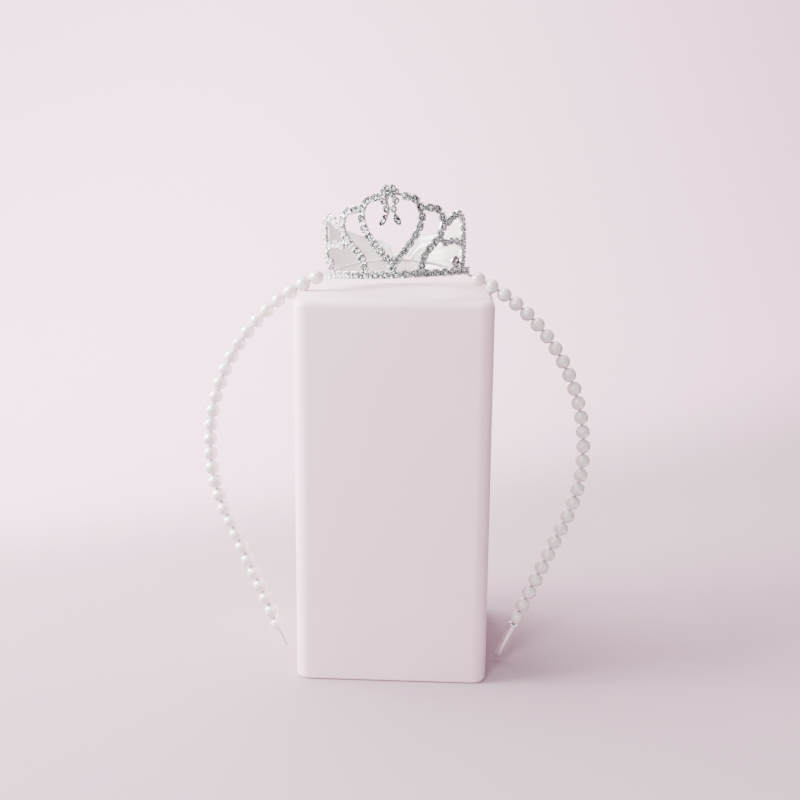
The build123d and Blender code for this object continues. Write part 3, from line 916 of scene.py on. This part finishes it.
card_glow, glow = glowing("dark_card", 8.0)
card_place = node(card_glow, "ShaderNodeTexCoord")
patches = node(card_glow, "ShaderNodeTexNoise", Scale=10.0, Detail=1.0)
slits = two_tones(card_glow, 0.575, (0.012, 0.011, 0.012), 0.635, (1.0, 0.97, 0.98))
join(card_glow, card_place, "Object", patches, "Vector")
join(card_glow, patches, "Fac", slits, "Fac")
join(card_glow, slits, "Color", glow, "Color")
stage_piece("dark_card", *card_surface(), card_glow, only_mirrored=True)
print("the dark card is a bowl of", len(card_surface()[1]), "faces")

# %% [markdown]
# A bright square card on the left is seen in the same way. The pearls' coat and
# the silver mirror it.

# %% Bright card
spot_glow, _ = glowing("spot_card", 42.0)
spot_place, spot_aim, spot_half = np.array([-0.5, -0.12, 0.43]), np.array([0.0, 0.0, 0.09]), 0.2
toward = spot_aim - spot_place
toward /= np.linalg.norm(toward)
beside = np.cross(toward, [0, 0, 1])
beside /= np.linalg.norm(beside)
raised = np.cross(beside, toward)
signs = np.array([(-1, -1), (1, -1), (1, 1), (-1, 1)])
corners = spot_place + spot_half * (signs[:, :1] * beside + signs[:, 1:] * raised)
stage_piece("spot_card", corners, np.array([(3, 2, 1, 0)]), spot_glow, only_mirrored=True)
print("bright card's corners:", corners.round(2).tolist())

# %% [markdown]
# ## Light
#
# A window on the left and a smaller lamp above it, where the bright card is, give
# the light its direction. A high soft light brightens the block's top, and a
# small lamp in front lights the front faces and makes the facets sparkle. One
# more lamp washes the paper behind.

# %% Light
def window(name, place, aim, size, watts, colour):
    """An area lamp whose face looks at the aim: its local Z points from the aim to the lamp."""
    lamp = bpy.data.lights.new(name, "AREA")
    lamp.shape, lamp.energy, lamp.color = "RECTANGLE", watts, colour
    lamp.size, lamp.size_y = size
    made = bpy.data.objects.new(name, lamp)
    made.location = place
    made.rotation_mode = "QUATERNION"
    made.rotation_quaternion = mathutils.Vector(np.array(place) - np.array(aim)).to_track_quat("Z", "Y")
    made.visible_camera = False
    bpy.context.scene.collection.objects.link(made)


lamps = (
    # name, place and aim in metres, size, power in watts, colour
    ("window_left", (-0.9, 0.12, 0.32), (0, 0, 0.09), (0.6, 0.65), 31.0, (1.0, 0.955, 0.975)),
    ("fill_front", (-0.35, -0.95, 0.5), (0, 0, 0.08), (0.3, 0.3), 14.0, (1.0, 0.93, 0.955)),
    ("skylight", (-0.25, 0.2, 1.15), (0, 0, 0.1), (0.9, 0.9), 26.0, (1.0, 0.96, 0.975)),
    ("pearl_spot", (-0.5, -0.12, 0.43), (0, 0, 0.09), (0.22, 0.22), 11.0, (1.0, 0.97, 0.98)),
    ("wall_wash", (-0.15, 0.22, 0.42), (-0.05, 0.8, 0.05), (0.3, 0.3), 6.0, (1.0, 0.96, 0.98)),
)
for row in lamps:
    window(*row)

# %% [markdown]
# ## Camera
#
# The camera stands almost straight in front, a little to the right and above
# the crown, and looks down by 12.7 degrees, which shows the top of the block.
# Its place was worked out from the block's edges.

# %% Camera
camera_data = bpy.data.cameras.new("camera")
camera_data.lens, camera_data.sensor_width = 50.0, 36.0
camera = bpy.data.objects.new("camera", camera_data)
bpy.context.scene.collection.objects.link(camera)
bpy.context.scene.camera = camera
heading_turn, pitch, roll = np.radians(2.65), np.radians(12.72), np.radians(0.5)
from_front, distance, camera_height = np.radians(2.8), 0.374, 0.1738
camera.location = (distance * np.sin(from_front), -distance * np.cos(from_front), camera_height)
forward = np.array([-np.sin(heading_turn) * np.cos(pitch),
                    np.cos(heading_turn) * np.cos(pitch), -np.sin(pitch)])
level = np.cross(forward, [0, 0, 1])
level /= np.linalg.norm(level)
above = np.cross(level, forward)
right = level * np.cos(roll) + above * np.sin(roll)
above = np.cross(right, forward)
camera.matrix_world = mathutils.Matrix.Translation(camera.location) @ mathutils.Matrix(
    np.column_stack([right, above, -forward]).tolist()).to_4x4()
print("camera at", [round(v, 4) for v in camera.location])
